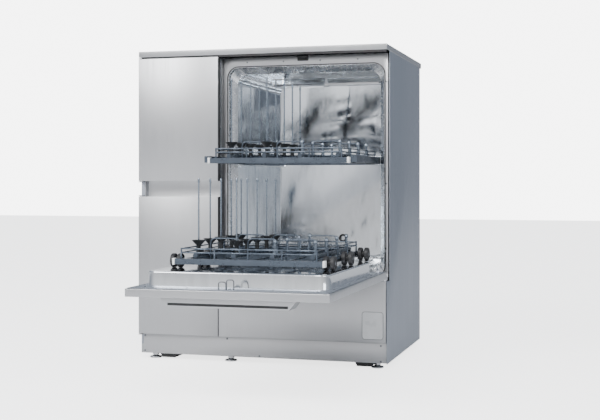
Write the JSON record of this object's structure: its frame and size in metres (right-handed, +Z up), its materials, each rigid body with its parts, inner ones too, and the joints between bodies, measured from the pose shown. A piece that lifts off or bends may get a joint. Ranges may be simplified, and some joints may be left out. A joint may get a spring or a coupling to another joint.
{
  "type": "laboratory glass washer",
  "caption": "Front-loading glass washer cabinet with a drop-down door, two draw-out injector racks and a service column.",
  "frame": {"origin": "on the floor, at the middle of the floor area that the machine takes with its door open and racks out", "axes": "+Z up, front faces -Y, +X to the right of a person facing the machine's front"},
  "size_m": [0.85, 1.348, 1.031],
  "materials": {
    "front_steel": "fine vertical brushed stainless steel",
    "side_steel": "satin stainless steel, slightly blue",
    "galvanised_steel": "plain zinc coated sheet",
    "polished_steel": "mirror polished stainless steel",
    "bright_steel": "turned bright steel",
    "rack_steel": "electropolished stainless wire and tube",
    "jet_steel": "drawn stainless tube",
    "black_rubber": "moulded black rubber",
    "black_plastic": "black moulded plastic",
    "white_plastic": "white moulded plastic",
    "machinery_grey": "grey painted castings",
    "label_film": "blank silver label film"
  },
  "bodies": {
    "cabinet": {"worktop": "front_steel", "side_panel_left": "side_steel", "side_panel_right": "side_steel", "back_panel": "galvanised_steel", "base_frame": "galvanised_steel", "plinth_panel": "front_steel", "levelling_feet": "bright_steel", "castor_housings": "black_plastic", "lower_fascia": "front_steel", "label_plate": "label_film", "centre_partition": "side_steel", "grip_channel": "front_steel", "column_door_pins": "bright_steel", "chamber_shell": "polished_steel", "chamber_front_frame": "front_steel", "door_gasket": "black_rubber", "door_lock": "black_plastic", "chamber_rails": "polished_steel", "sump": "polished_steel", "sump_filter": "bright_steel", "spray_arm_shafts": "bright_steel", "docking_ports": "black_plastic", "wash_pump": "machinery_grey", "drain_pump": "black_plastic", "heater": "machinery_grey", "dosing_pumps": "machinery_grey", "drying_blower": "black_plastic", "control_box": "galvanised_steel", "water_valves": "white_plastic", "rear_connectors": "bright_steel", "cabinet_screws": "bright_steel", "door_hinge_pins": "bright_steel"},
    "door": {"door_outer_panel": "front_steel", "door_inner_liner": "polished_steel", "door_hinge_arms": "bright_steel", "door_handle": "front_steel", "door_strikers": "bright_steel", "door_screws": "bright_steel"},
    "lower_rack": {"lower_rack_frame": "rack_steel", "lower_rack_caps": "white_plastic", "lower_rack_manifold": "rack_steel", "lower_rack_jets": "jet_steel", "lower_rack_cones": "black_plastic"},
    "upper_rack": {"upper_rack_frame": "rack_steel", "upper_rack_caps": "white_plastic", "upper_rack_manifold": "rack_steel", "upper_rack_jets": "jet_steel", "upper_rack_cones": "black_plastic"},
    "rack_roller_left_1": {"rack_roller_left_1": "black_rubber"},
    "rack_roller_left_2": {"rack_roller_left_2": "black_rubber"},
    "rack_roller_left_3": {"rack_roller_left_3": "black_rubber"},
    "rack_roller_right_1": {"rack_roller_right_1": "black_rubber"},
    "rack_roller_right_2": {"rack_roller_right_2": "black_rubber"},
    "rack_roller_right_3": {"rack_roller_right_3": "black_rubber"},
    "castor_wheel_left": {"castor_wheel_left": "black_rubber"},
    "castor_wheel_right": {"castor_wheel_right": "black_rubber"},
    "upper_column_door": {"upper_column_door": "front_steel"},
    "lower_column_door": {"lower_column_door": "front_steel"},
    "bottom_spray_arm": {"bottom_spray_arm": "bright_steel"},
    "top_spray_arm": {"top_spray_arm": "bright_steel"}
  },
  "joints": [
    {"name": "door_hinge", "type": "hinge", "parent": "cabinet", "child": "door", "pos_m": [0.143, 0.0445, 0.2865], "axis": [-1, 0, 0], "range_deg": [0, 6]},
    {"name": "lower_rack_slide", "type": "slide", "parent": "door", "child": "lower_rack", "axis": [0, -1, 0], "range_m": [-0.612, 0]},
    {"name": "upper_rack_slide", "type": "slide", "parent": "cabinet", "child": "upper_rack", "axis": [0, 1, 0], "range_m": [-0.05, 0.334]},
    {"name": "upper_column_door_hinge", "type": "hinge", "parent": "cabinet", "child": "upper_column_door", "pos_m": [-0.42, 0.051, 0.8], "axis": [0, 0, -1], "range_deg": [0, 100]},
    {"name": "lower_column_door_hinge", "type": "hinge", "parent": "cabinet", "child": "lower_column_door", "pos_m": [-0.42, 0.051, 0.315], "axis": [0, 0, -1], "range_deg": [0, 100]},
    {"name": "bottom_spray_arm_spin", "type": "hinge", "parent": "cabinet", "child": "bottom_spray_arm", "pos_m": [0.143, 0.371, 0.337], "axis": [0, 0, 1], "continuous": true},
    {"name": "top_spray_arm_spin", "type": "hinge", "parent": "cabinet", "child": "top_spray_arm", "pos_m": [0.143, 0.371, 0.935], "axis": [0, 0, 1], "continuous": true},
    {"name": "rack_roller_left_1_spin", "type": "hinge", "parent": "lower_rack", "child": "rack_roller_left_1", "pos_m": [-0.081, -0.447, 0.3711], "axis": [1, 0, 0], "continuous": true},
    {"name": "rack_roller_left_2_spin", "type": "hinge", "parent": "lower_rack", "child": "rack_roller_left_2", "pos_m": [-0.081, -0.239, 0.3711], "axis": [1, 0, 0], "continuous": true},
    {"name": "rack_roller_left_3_spin", "type": "hinge", "parent": "lower_rack", "child": "rack_roller_left_3", "pos_m": [-0.081, -0.031, 0.3711], "axis": [1, 0, 0], "continuous": true},
    {"name": "rack_roller_right_1_spin", "type": "hinge", "parent": "lower_rack", "child": "rack_roller_right_1", "pos_m": [0.367, -0.447, 0.3711], "axis": [1, 0, 0], "continuous": true},
    {"name": "rack_roller_right_2_spin", "type": "hinge", "parent": "lower_rack", "child": "rack_roller_right_2", "pos_m": [0.367, -0.239, 0.3711], "axis": [1, 0, 0], "continuous": true},
    {"name": "rack_roller_right_3_spin", "type": "hinge", "parent": "lower_rack", "child": "rack_roller_right_3", "pos_m": [0.367, -0.031, 0.3711], "axis": [1, 0, 0], "continuous": true},
    {"name": "castor_wheel_left_spin", "type": "hinge", "parent": "cabinet", "child": "castor_wheel_left", "pos_m": [-0.327, 0.118, 0.0165], "axis": [1, 0, 0], "continuous": true},
    {"name": "castor_wheel_right_spin", "type": "hinge", "parent": "cabinet", "child": "castor_wheel_right", "pos_m": [0.345, 0.118, 0.0165], "axis": [1, 0, 0], "continuous": true}
  ]
}
